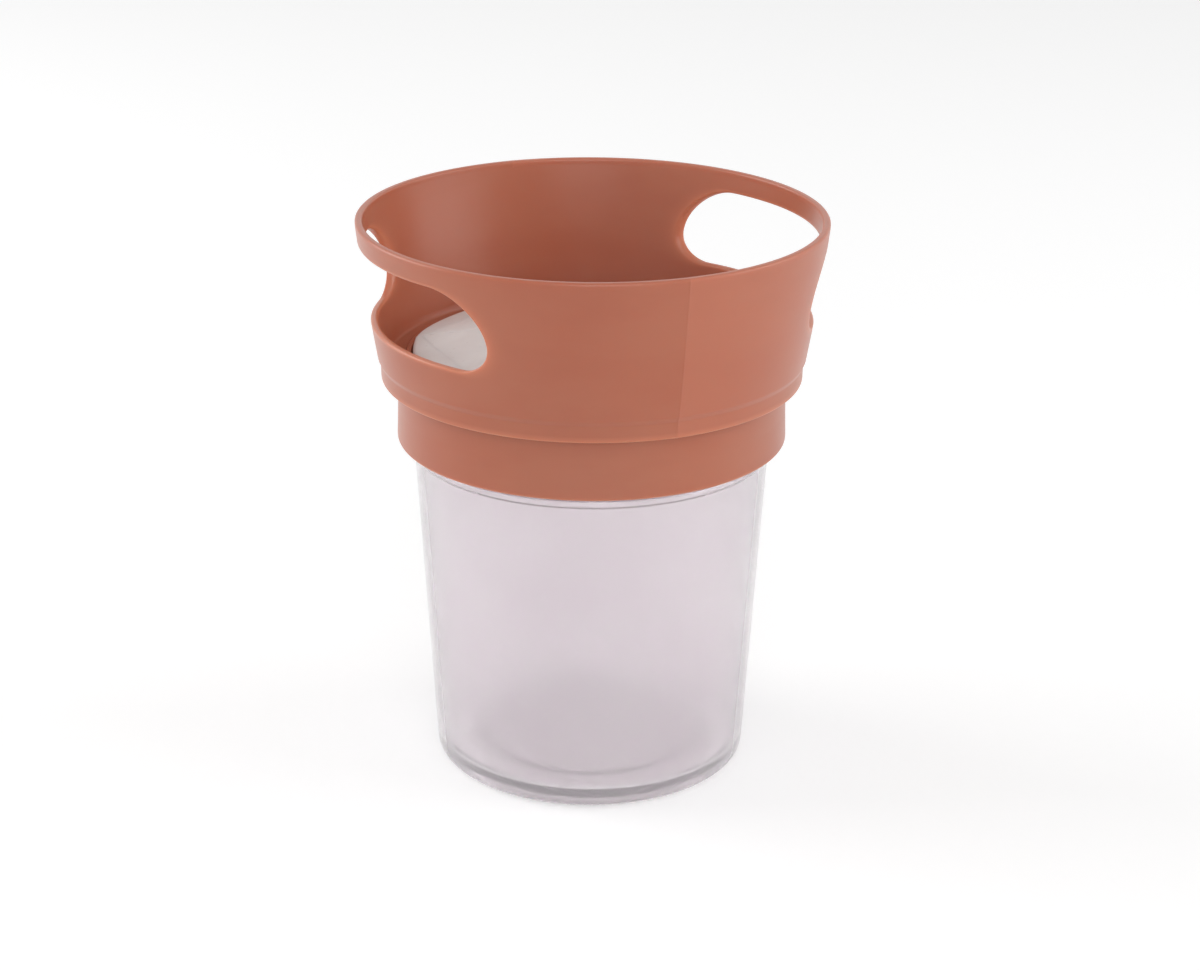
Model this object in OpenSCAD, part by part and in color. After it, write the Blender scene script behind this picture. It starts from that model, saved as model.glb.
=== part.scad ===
// Toddler snack container: a clear jar, a screw collar that carries a
// wide bowl with two hand openings, and a soft guard with swinging flaps.
// Origin: centre of the base, where the jar stands. +Z is up, and the two
// hand openings face +X and -X.

/* [Jar] */
// Outer radius of the jar at its foot
jar_foot_r = 36.85; // [34:0.05:38]
// Outer radius of the jar body under its shoulder
jar_top_r = 41.6; // [40:0.1:44]
// Height of the jar body, from the base to the shoulder
jar_body_h = 78.8; // [50:0.1:110]
// Thickness of the jar's side wall
jar_wall = 1.8; // [1.4:0.1:2.6]
// Thickness of the jar's floor above the foot
jar_floor_t = 3.2; // [2:0.1:5]
// Radius of the rounding between the base and the wall
jar_base_round = 2.8; // [1.5:0.1:4]
// Depth of the hollow under the base, inside the foot ring
foot_hollow = 0.8; // [0.4:0.1:1.2]
// Width of the foot ring that the jar stands on
foot_ring_w = 4.2; // [3:0.1:8]
// Radius of the groove on top of the thick floor
floor_groove_r = 26; // [18:0.5:30]
// Height of the small bead round the top of the jar body
jar_bead_h = 1.3; // [0.8:0.1:2]
// How far the bead stands out from the jar wall
jar_bead_out = 0.5; // [0.3:0.1:0.8]

/* [Neck and thread] */
// Step from the jar body in to the threaded neck
shoulder_w = 1.4; // [1:0.1:2]
// Height of the threaded neck above the shoulder
neck_h = 14.2; // [13:0.1:18]
// Wall thickness of the neck
neck_wall = 1.6; // [1.2:0.1:2]
// Radial depth of the thread on the neck
thread_depth = 2.6; // [2:0.1:3]
// Rise of the thread in one full turn
thread_lead = 12; // [11:0.5:14]
// Part of a full turn that each thread start covers
thread_turn = 0.55; // [0.4:0.05:0.6]
// Width of a thread at its root, along Z
thread_root_w = 2.6; // [2:0.1:3]
// Width of a thread at its crest, along Z
thread_crest_w = 1.4; // [1:0.1:1.6]
// Radial clearance between a thread crest and the wall it faces
thread_gap = 0.6; // [0.4:0.05:0.8]

/* [Screw collar] */
// Wall thickness of the collar
collar_wall = 1.7; // [1.3:0.1:2.4]
// Thickness of the collar's roof
collar_roof_t = 1.5; // [1.2:0.1:2.5]
// Width of the lip that the roof holds over the guard
collar_lip_w = 1.5; // [1.2:0.1:1.8]
// Gap between the jar shoulder and the collar's lower edge
collar_foot_gap = 1.4; // [0.6:0.1:2.5]
// Wall thickness of the snap ring on top of the collar
snap_ring_w = 1; // [0.8:0.1:1.4]
// How far the snap bead reaches over the bowl's floor
snap_reach = 0.4; // [0.3:0.05:0.6]
// Height of the snap bead
snap_bead_h = 1.1; // [0.8:0.1:1.6]
// Width of each drive lug between the collar and the bowl
lug_w = 7; // [4:0.5:12]
// Radial length of each drive lug
lug_len = 1.4; // [1:0.1:1.8]

/* [Bowl] */
// Wall thickness of the bowl
bowl_wall = 1.7; // [1.3:0.1:2.4]
// Thickness of the bowl's floor ring
bowl_floor_t = 1.6; // [1.2:0.1:2.4]
// Height of the bowl, from under its floor ring to its rim
bowl_h = 35.4; // [33:0.1:45]
// How much wider the rim is than the foot of the bowl, on the radius
bowl_flare = 5; // [3:0.1:9]
// Outward bulge of the bowl wall at half its height
bowl_bulge = 0.25; // [0:0.05:0.8]
// How far the bowl wall reaches down past its floor, round the collar
skirt_drop = 2; // [1:0.1:4]
// Gap between the collar and the skirt of the bowl
skirt_gap = 2.2; // [1:0.1:4]

/* [Hand openings] */
// Width of each hand opening, measured straight across
opening_w = 69; // [56:0.5:74]
// Height of the sill above the underside of the bowl's floor
sill_h = 12.1; // [10:0.1:13]
// Radius of the two upper corners
head_round = 11.1; // [8:0.1:12]
// Radius of the two lower corners
sill_round = 6.9; // [5:0.1:8]

/* [Guard and flaps] */
// Thickness of the flat seal under the guard
seal_t = 1.2; // [0.8:0.1:1.6]
// How far the seal reaches in and out past the lip of the jar
seal_reach = 0.4; // [0.2:0.1:0.6]
// Thickness of the guard's clamped flange
guard_flange_t = 1; // [0.8:0.1:1.6]
// Wall thickness of the guard's upright ring
guard_wall = 1.9; // [1.4:0.1:2.2]
// Height of the guard, from under its flange to its outer top edge
guard_h = 6.8; // [6:0.1:9]
// Rise of the guard's top plate from its outer edge to the flaps
plate_rise = 1.2; // [0.6:0.1:1.6]
// Thickness of the guard's top plate
plate_t = 1.8; // [1.4:0.1:2.2]
// Number of flaps
flap_count = 6; // [5:1:8]
// Thickness of each flap
flap_t = 1.2; // [0.9:0.1:1.5]
// How far the tips of the flaps stand above their hinge lines
flap_rise = 4.4; // [2:0.1:6]
// Width of the slit between two flaps
slit_w = 0.7; // [0.6:0.05:1]
// Radius of the small hole where the flaps meet
flap_hole_r = 2.5; // [2:0.1:5]
// Direction of the first slit, from +X towards +Y
slit_angle = 32; // [0:1:60]

/* [Fits] */
// Clearance between pieces that turn or swing against each other
run_gap = 0.3; // [0.25:0.05:0.4]
// Clearance of the guard in the collar's lip, on the radius
guard_gap = 0.5; // [0.4:0.05:0.7]
// Clearance of the snap ring in the bowl's floor, on the radius
snap_gap = 0.3; // [0.2:0.05:0.4]

/* [Hidden] */
$fn = 96;
eps = 0.01;
chamfer = 0.4;
overcut = 1;

// Jar and neck
neck_r = jar_top_r - shoulder_w;
neck_in_r = neck_r - neck_wall;
lip_z = jar_body_h + neck_h;
foot_r = jar_foot_r - jar_base_round;
groove_w = 2.4;
groove_d = 0.7;

// Threads: when closed, the collar's thread lies just under the jar's
thread_crest_r = neck_r + thread_depth;
thread_sink = 0.3;
thread_end_gap = 0.3;
thread_starts = 2;
thread_step = 9;
thread_rise = thread_lead * thread_turn;
thread_mid_w = (thread_root_w + thread_crest_w) / 2;
neck_thread_z = lip_z - chamfer - thread_end_gap - thread_root_w / 2 - thread_rise;
flank_gap = 0.4;
collar_thread_z = neck_thread_z - thread_mid_w - flank_gap;

// Collar, and the pieces stacked on the lip of the jar
collar_in_r = thread_crest_r + thread_gap;
collar_r = collar_in_r + collar_wall;
collar_thread_r = neck_r + thread_gap;
collar_hole_r = collar_in_r - collar_lip_w;
collar_z = jar_body_h + collar_foot_gap;
flange_z = lip_z + seal_t;
roof_z = flange_z + guard_flange_t + run_gap;
collar_top_z = roof_z + collar_roof_t;
collar_flare = 0.25;
snap_ring_r = collar_hole_r + snap_ring_w;
bowl_hole_r = snap_ring_r + snap_gap;
snap_bead_z = collar_top_z + bowl_floor_t + run_gap;
snap_bead_r = bowl_hole_r + snap_reach;
lug_gap = 0.3;
lug_sink = 0.5;

// Bowl and its openings
bowl_z = collar_top_z;
bowl_foot_r = collar_r + skirt_gap + bowl_wall;
rim_r = bowl_foot_r + bowl_flare;
rim_z = bowl_z + bowl_h;
skirt_taper = 0.2;
wall_steps = 8;
rim_steps = 8;
sill_z = bowl_z + sill_h;
opening_mid_z = sill_z + sill_round;

// Guard and flaps
guard_r = collar_hole_r - guard_gap;
guard_in_r = guard_r - guard_wall;
guard_flange_r = collar_in_r - thread_gap;
guard_edge_z = flange_z + guard_h;
plate_z = guard_edge_z + plate_rise;
flap_half = 180 / flap_count;
plate_reach = guard_in_r * cos(flap_half);
hinge_r = plate_reach - run_gap - flap_t / 2;
hinge_z = plate_z - flap_t / 2;
flap_tilt = atan(flap_rise / (hinge_r - flap_hole_r));
flap_len = (hinge_r - flap_hole_r) / cos(flap_tilt);

// Outer radius of the jar wall at height z
function jar_r(z) = jar_foot_r + (jar_top_r - jar_foot_r) * z / jar_body_h;

// Outer radius of the bowl wall at the share t of its height
function bowl_r(t) = bowl_foot_r + bowl_flare * t + 4 * bowl_bulge * t * (1 - t);

// Half the width of a flap at the distance d from the jar's axis
function flap_half_w(d) = d * tan(flap_half) - slit_w / 2 / cos(flap_half);

// Points of an arc about c, from angle a to angle b
function arc(c, r, a, b, n = 6) =
    [for (k = [0:n]) c + r * [cos(a + (b - a) * k / n), sin(a + (b - a) * k / n)]];

// A helical thread of trapezoid section, from its root to its crest
module thread(root, crest, z) {
    steps = ceil(360 * thread_turn / thread_step);
    lo = crest > root ? [root, thread_root_w] : [crest, thread_crest_w];
    hi = crest > root ? [crest, thread_crest_w] : [root, thread_root_w];
    section = [
        [lo[0], -lo[1] / 2], [hi[0], -hi[1] / 2],
        [hi[0], hi[1] / 2], [lo[0], lo[1] / 2]
    ];
    points = [
        for (k = [0:steps]) for (p = section)
        let (a = 360 * thread_turn * k / steps)
        [p[0] * cos(a), p[0] * sin(a), z + p[1] + thread_rise * k / steps]
    ];
    sides = [
        for (k = [0:steps - 1]) for (j = [0:3]) for (half = [0, 1])
        let (a = 4 * k + j, b = 4 * k + (j + 1) % 4)
        half == 0 ? [a, b, b + 4] : [a, b + 4, a + 4]
    ];
    ends = [[3, 2, 1], [3, 1, 0], [0, 1, 2] + 4 * steps * [1, 1, 1], [0, 2, 3] + 4 * steps * [1, 1, 1]];
    polyhedron(points, concat(sides, ends));
}

// All starts of one thread, evenly spaced round the axis
module thread_set(root, crest, z) {
    for (s = [0:thread_starts - 1])
        rotate([0, 0, s * 360 / thread_starts]) thread(root, crest, z);
}

// Half section of the jar, with its thick floor, shoulder and lip
module jar_section() {
    bead_low_z = jar_body_h - jar_bead_h;
    bead_r = jar_top_r + jar_bead_out;
    wall_low_z = jar_floor_t + foot_hollow + jar_base_round;
    inner_low_r = jar_r(wall_low_z) - jar_wall;
    polygon(concat(
        [[0, foot_hollow], [foot_r - foot_ring_w - foot_hollow, foot_hollow], [foot_r - foot_ring_w, 0]],
        arc([foot_r, jar_base_round], jar_base_round, -90, 0),
        [
            [jar_r(bead_low_z - jar_bead_out), bead_low_z - jar_bead_out],
            [bead_r, bead_low_z], [bead_r, jar_body_h - chamfer],
            [bead_r - chamfer, jar_body_h], [neck_r, jar_body_h],
            [neck_r, lip_z - chamfer], [neck_r - chamfer, lip_z],
            [neck_in_r + chamfer, lip_z], [neck_in_r, lip_z - chamfer],
            [neck_in_r, jar_body_h],
            [jar_r(jar_body_h - 2 * shoulder_w) - jar_wall, jar_body_h - 2 * shoulder_w]
        ],
        arc([inner_low_r - jar_base_round, wall_low_z], jar_base_round, 0, -90),
        [[0, jar_floor_t + foot_hollow]]
    ));
}

module jar() {
    color([0.82, 0.76, 0.82, 0.45]) difference() {
        union() {
            rotate_extrude() jar_section();
            thread_set(neck_r - thread_sink, thread_crest_r, neck_thread_z);
        }
        translate([0, 0, jar_floor_t + foot_hollow - groove_d])
            difference() {
                cylinder(r = floor_groove_r + groove_w / 2, h = groove_d + eps);
                translate([0, 0, -eps])
                    cylinder(r = floor_groove_r - groove_w / 2, h = groove_d + 3 * eps);
            }
    }
}

// Half section of the collar: wall, roof, snap ring and snap bead
module collar_section() {
    snap_top_z = snap_bead_z + snap_bead_h;
    polygon([
        [collar_in_r + chamfer, collar_z], [collar_r + collar_flare - chamfer, collar_z],
        [collar_r + collar_flare, collar_z + chamfer], [collar_r, (collar_z + roof_z) / 2],
        [collar_r, collar_top_z - chamfer], [collar_r - chamfer, collar_top_z],
        [snap_ring_r, collar_top_z], [snap_ring_r, snap_bead_z],
        [snap_bead_r, snap_bead_z + snap_reach], [snap_ring_r, snap_top_z],
        [collar_hole_r, snap_top_z], [collar_hole_r, roof_z],
        [collar_in_r, roof_z], [collar_in_r, collar_z + chamfer]
    ]);
}

// Drive lugs at +Y and -Y; the same shape, grown, cuts their notches
module lugs(grow, h) {
    reach = snap_ring_r + lug_len + grow;
    width = lug_w + 2 * grow;
    for (side = [-1, 1])
        translate([-width / 2, side > 0 ? snap_ring_r - lug_sink : -reach, collar_top_z - eps])
            cube([width, reach - snap_ring_r + lug_sink, h]);
}

module screw_collar() {
    color([0.76, 0.47, 0.36]) union() {
        rotate_extrude() collar_section();
        thread_set(collar_in_r + thread_sink, collar_thread_r, collar_thread_z);
        lugs(0, bowl_floor_t + eps);
    }
}

// Half section of the bowl: skirt, floor ring, flared wall and rim
module bowl_section() {
    rim_round = bowl_wall / 2;
    wall = [
        for (k = [0:wall_steps])
        let (t = k / wall_steps)
        [bowl_r(t), bowl_z + t * (bowl_h - rim_round)]
    ];
    rim = arc([rim_r - rim_round, rim_z - rim_round], rim_round, 0, 180, rim_steps);
    inner = [for (k = [wall_steps - 1:-1:1]) wall[k] - [bowl_wall, 0]];
    skirt_r = bowl_foot_r - skirt_taper;
    skirt_z = bowl_z - skirt_drop;
    floor_top_z = bowl_z + bowl_floor_t;
    polygon(concat(
        [[bowl_hole_r, bowl_z], [bowl_foot_r - bowl_wall, bowl_z]],
        [[skirt_r - bowl_wall, skirt_z + chamfer], [skirt_r - bowl_wall + chamfer, skirt_z]],
        [[skirt_r - chamfer, skirt_z], [skirt_r, skirt_z + chamfer]],
        [for (k = [0:wall_steps - 1]) wall[k]], rim, inner,
        [[bowl_foot_r - bowl_wall + chamfer, floor_top_z + chamfer]],
        [[bowl_foot_r - bowl_wall, floor_top_z], [bowl_hole_r, floor_top_z]]
    ));
}

// The hand openings run straight through both sides along X
module hand_openings() {
    reach = rim_r + overcut;
    head_y = opening_w / 2 - head_round;
    sill_y = opening_w / 2 - sill_round;
    intersection() {
        union() {
            for (side = [-1, 1])
                translate([-reach, side * head_y, opening_mid_z]) rotate([0, 90, 0])
                    cylinder(r = head_round, h = 2 * reach);
            translate([-reach, -head_y, opening_mid_z]) cube([2 * reach, 2 * head_y, head_round]);
        }
        translate([-reach, -reach, opening_mid_z]) cube([2 * reach, 2 * reach, head_round + overcut]);
    }
    intersection() {
        union() {
            for (side = [-1, 1])
                translate([-reach, side * sill_y, opening_mid_z]) rotate([0, 90, 0])
                    cylinder(r = sill_round, h = 2 * reach);
            translate([-reach, -sill_y, sill_z]) cube([2 * reach, 2 * sill_y, sill_round]);
        }
        translate([-reach, -reach, sill_z - overcut])
            cube([2 * reach, 2 * reach, sill_round + overcut]);
    }
}

module handle_bowl() {
    color([0.76, 0.47, 0.36]) difference() {
        rotate_extrude() bowl_section();
        hand_openings();
        lugs(lug_gap, bowl_floor_t + overcut);
    }
}

// Half section of the guard: flange, upright ring and sloping top plate
module guard_section() {
    inner = plate_reach - overcut;
    slope = plate_rise / (guard_r - plate_reach);
    polygon([
        [guard_in_r, flange_z], [guard_flange_r, flange_z],
        [guard_flange_r, flange_z + guard_flange_t], [guard_r, flange_z + guard_flange_t],
        [guard_r, guard_edge_z - chamfer], [guard_r - chamfer, guard_edge_z],
        [inner, plate_z + slope * (plate_reach - inner)],
        [inner, plate_z - plate_t], [guard_in_r, guard_edge_z - plate_t]
    ]);
}

module guard_ring() {
    color([0.9, 0.88, 0.87]) difference() {
        rotate_extrude() guard_section();
        rotate([0, 0, slit_angle]) translate([0, 0, flange_z - overcut])
            cylinder(r = guard_in_r, h = guard_h + plate_rise + 3 * overcut, $fn = flap_count);
    }
}

module seal_ring() {
    color([0.93, 0.92, 0.9]) translate([0, 0, lip_z]) difference() {
        cylinder(r = neck_r + seal_reach, h = seal_t);
        translate([0, 0, -overcut]) cylinder(r = neck_in_r - seal_reach, h = seal_t + 2 * overcut);
    }
}

// One flap: a flat leaf that tapers from its hinge line to the middle
module flap(i) {
    root_w = flap_half_w(hinge_r);
    tip_w = flap_half_w(flap_hole_r);
    color([0.92, 0.9, 0.89])
        rotate([0, 0, slit_angle + flap_half * (2 * i - 1)])
        translate([hinge_r, 0, hinge_z])
        rotate([0, flap_tilt, 0])
        union() {
            translate([0, 0, -flap_t / 2]) linear_extrude(flap_t)
                polygon([[0, -root_w], [0, root_w], [-flap_len, tip_w], [-flap_len, -tip_w]]);
            rotate([90, 0, 0]) cylinder(d = flap_t, h = 2 * root_w, center = true);
        }
}

jar();
screw_collar();
handle_bowl();
guard_ring();
seal_ring();
for (i = [1:flap_count])
    flap(i);
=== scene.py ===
"""Looks of the toddler snack container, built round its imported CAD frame.

Every piece is a surface worked out on a grid, in metres, in the CAD frame:
+Z is up, the jar stands on z = 0, and the hand openings face +X and -X.
"""

import logging
import math
from dataclasses import dataclass
from enum import Enum
from typing import Callable, Sequence

import bmesh
import bpy
import numpy as np
from mathutils import Matrix


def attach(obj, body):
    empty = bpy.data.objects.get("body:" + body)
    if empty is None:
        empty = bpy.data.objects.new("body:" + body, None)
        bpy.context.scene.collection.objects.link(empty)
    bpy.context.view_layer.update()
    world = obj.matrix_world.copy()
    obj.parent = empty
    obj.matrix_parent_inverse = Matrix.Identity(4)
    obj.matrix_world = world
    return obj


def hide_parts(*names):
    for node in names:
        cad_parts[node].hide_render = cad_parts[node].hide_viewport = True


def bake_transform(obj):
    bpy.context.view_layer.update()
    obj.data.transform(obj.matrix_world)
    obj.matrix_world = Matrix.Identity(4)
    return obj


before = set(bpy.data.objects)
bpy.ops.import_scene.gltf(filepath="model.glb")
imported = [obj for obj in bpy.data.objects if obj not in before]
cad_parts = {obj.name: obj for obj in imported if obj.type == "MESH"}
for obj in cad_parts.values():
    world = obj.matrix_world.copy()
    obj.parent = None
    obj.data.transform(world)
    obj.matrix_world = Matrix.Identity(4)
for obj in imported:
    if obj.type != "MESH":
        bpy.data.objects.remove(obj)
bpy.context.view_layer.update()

MM = 0.001
WHITE = (1.0, 1.0, 1.0, 1.0)
# Vertex layer of painted light: the glow of thin edges that light shines through.
GLOW_LAYER = "edge"
# Vertex layer of painted light: a lighter side right of the parting line, where light from the right falls.
LIT_SIDE_LAYER = "half"
Colour = tuple[float, float, float]
Point = tuple[float, float, float]
Range = tuple[float, float]
log = logging.getLogger("snack_container")


class Body(Enum):
    """The moving bodies of the CAD frame that pieces ride on."""

    JAR = "jar"
    GUARD = "guard"
    TOP = "top"


class Slot(Enum):
    """The record's material slots."""

    JAR = "clear_jar"
    SHELL = "terracotta"
    GUARD = "pale_silicone"
    SEAL = "seal_silicone"


Finishes = dict[Slot, bpy.types.Material]


def smooth(x: np.ndarray) -> np.ndarray:
    """Smoothstep of x: 0 below 0, 1 above 1, and 3x^2 - 2x^3 between."""
    t = np.clip(x, 0.0, 1.0)
    return t * t * (3.0 - 2.0 * t)


def rounded(corners: Sequence[Point], steps: int = 5, closed: bool = False) -> np.ndarray:
    """An outline whose corners are rounded by arcs.

    Each corner P with radius q is cut back by q * tan(turn / 2) on both sides,
    and the cut is bridged by the arc that touches both sides.

    Args:
        corners: (x, y, radius) of each corner, in order.
        steps: steps of each arc.
        closed: whether the last corner runs on to the first.

    Returns:
        The outline's points, one row each.
    """
    pts = np.array([c[:2] for c in corners], float)
    out = []
    count = len(pts)
    for k, (_, _, radius) in enumerate(corners):
        if radius <= 0 or (not closed and k in (0, count - 1)):
            out.append(pts[k][None, :])
            continue
        back, ahead = pts[k - 1] - pts[k], pts[(k + 1) % count] - pts[k]
        back, ahead = back / np.linalg.norm(back), ahead / np.linalg.norm(ahead)
        inner = math.acos(float(np.clip(back @ ahead, -1, 1)))
        cut = radius / math.tan(inner / 2)
        middle = pts[k] + (back + ahead) / np.linalg.norm(back + ahead) * radius / math.sin(inner / 2)
        a, b = pts[k] + back * cut - middle, pts[k] + ahead * cut - middle
        turn = math.acos(float(np.clip(a @ b / (radius * radius), -1, 1)))
        t = np.linspace(0, 1, steps + 1)[:, None]
        out.append(middle + (np.sin((1 - t) * turn) * a + np.sin(t * turn) * b) / math.sin(turn))
    return np.vstack(out)


def resampled(path: np.ndarray, gap: float) -> np.ndarray:
    """The path with extra points, so that no step is longer than gap.

    Args:
        path: points, one row each.
        gap: the longest step.

    Returns:
        The longer list of points.
    """
    out = [path[:1]]
    for a, b in zip(path[:-1], path[1:]):
        n = max(1, int(math.ceil(float(np.linalg.norm(b - a)) / gap)))
        out.append(a + (b - a) * (np.arange(1, n + 1) / n)[:, None])
    return np.vstack(out)


def turned(r: np.ndarray, z: np.ndarray, theta: np.ndarray) -> np.ndarray:
    """Points of a surface of revolution: (r cos t, r sin t, z), r and z as grids."""
    r, z, theta = np.broadcast_arrays(r, z, theta)
    return np.stack([r * np.cos(theta), r * np.sin(theta), z], axis=-1)

def full_turn(columns: int) -> np.ndarray:
    """Angles of evenly spaced columns all the way round, as one row."""
    return (np.arange(columns) * 2 * math.pi / columns)[None, :]


def pushed_out(grid: np.ndarray, by: np.ndarray) -> np.ndarray:
    """Moves each of a grid's points away from the axis by its own distance."""
    scale = 1 + by / np.hypot(grid[..., 0], grid[..., 1])
    return np.stack([grid[..., 0] * scale, grid[..., 1] * scale, grid[..., 2]], axis=-1)


class Patchwork:
    """Grids of points that are joined along their shared edges into one closed mesh."""

    def __init__(self) -> None:
        """Starts with no grid."""
        self.verts: list[np.ndarray] = []
        self.edges: list[np.ndarray] = []
        self.lit_sides: list[np.ndarray] = []
        self.faces: list[np.ndarray] = []
        self.count = 0

    def add(self, grid: np.ndarray, edge: np.ndarray | float = 0.0, wrap: bool = False,
            half: np.ndarray | float = 0.0) -> None:
        """Adds one grid.

        Args:
            grid: points of shape (rows, columns, 3), in millimetres.
            edge: how much painted glow each point gets, for thin edges that light shines through, from 0 to
                1.
            wrap: whether the last column runs on to the first.
            half: how much of the painted lighter side each point gets, from 0 to 1; it stands for light
                from the right falling beside the parting line.
        """
        rows, cols = grid.shape[:2]
        index = self.count + np.arange(rows * cols).reshape(rows, cols)
        if wrap:
            index = np.concatenate([index, index[:, :1]], axis=1)
        quads = np.stack([index[:-1, :-1], index[:-1, 1:], index[1:, 1:], index[1:, :-1]], axis=-1)
        self.verts.append(grid.reshape(-1, 3))
        self.edges.append(np.broadcast_to(edge, (rows, cols)).reshape(-1))
        self.lit_sides.append(np.broadcast_to(half, (rows, cols)).reshape(-1))
        self.faces.append(quads.reshape(-1, 4))
        self.count += rows * cols

    def build(self, name: str) -> bpy.types.Object:
        """Joins the grids, closes their seams and poles, and turns the faces outwards.

        Args:
            name: the piece's name.

        Returns:
            The finished object at the origin.
        """
        mesh = bpy.data.meshes.new(name)
        verts = np.concatenate(self.verts) * MM
        mesh.from_pydata(verts.tolist(), [], np.concatenate(self.faces).tolist())
        # Both layers are painted light: the glow of thin edges and the lighter side right of the parting
        # line.
        for layer_name, values in ((GLOW_LAYER, self.edges), (LIT_SIDE_LAYER, self.lit_sides)):
            layer = mesh.attributes.new(layer_name, "FLOAT", "POINT")
            layer.data.foreach_set("value", np.concatenate(values).astype(np.float32))
        work = bmesh.new()
        work.from_mesh(mesh)
        bmesh.ops.remove_doubles(work, verts=work.verts, dist=2e-7)
        bmesh.ops.dissolve_degenerate(work, edges=work.edges, dist=1e-8)
        bmesh.ops.recalc_face_normals(work, faces=work.faces)
        if work.calc_volume(signed=True) < 0:
            bmesh.ops.reverse_faces(work, faces=work.faces)
        open_edges = sum(1 for e in work.edges if len(e.link_faces) != 2)
        work.to_mesh(mesh)
        work.free()
        mesh.shade_smooth()
        piece = bpy.data.objects.new(name, mesh)
        bpy.context.scene.collection.objects.link(piece)
        if open_edges:
            log.warning("%s has %d open edges", name, open_edges)
        return piece


@dataclass(frozen=True)
class Thread:
    """A screw thread as a height over a cylinder.

    The height at angle t and height z is the depth times a trapezoid of the
    distance from the helix, faded out over the last few degrees of each start.
    """

    depth: float
    low_z: float
    lead: float = 12.0
    turn: float = 0.55
    starts: int = 2
    root_w: float = 2.6
    crest_w: float = 1.4
    fade_deg: float = 14.0

    def height(self, theta: np.ndarray, z: np.ndarray) -> np.ndarray:
        """Height of the thread over its cylinder, in millimetres.

        Args:
            theta: angles in radians.
            z: heights in millimetres.

        Returns:
            The thread's height at each point.
        """
        span = 2 * math.pi * self.turn
        total = np.zeros(np.broadcast(theta, z).shape)
        for start in range(self.starts):
            along = np.mod(theta - 2 * math.pi * start / self.starts, 2 * math.pi)
            middle = self.low_z + self.lead * along / (2 * math.pi)
            slope = (self.root_w - self.crest_w) / 2
            shape = smooth((self.root_w / 2 - np.abs(z - middle)) / slope)
            fade = smooth(along / math.radians(self.fade_deg))
            fade = fade * smooth((span - along) / math.radians(self.fade_deg))
            total = np.maximum(total, shape * fade * self.depth)
        return total


@dataclass(frozen=True)
class Stack:
    """Heights and radii that several pieces share, in millimetres."""

    shoulder_z: float = 78.8
    lip_z: float = 93.0
    neck_r: float = 40.2
    neck_in_r: float = 38.6
    seal_t: float = 1.2
    collar_in_r: float = 43.4
    collar_r: float = 45.1
    collar_hole_r: float = 41.9
    roof_z: float = 95.5
    bowl_z: float = 97.0
    neck_thread_z: float = 84.4
    thread_depth: float = 2.6
    thread_drop: float = 2.4

    @property
    def flange_z(self) -> float:
        """Level of the guard's underside, which sits on the seal."""
        return self.lip_z + self.seal_t


STACK = Stack()


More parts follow.
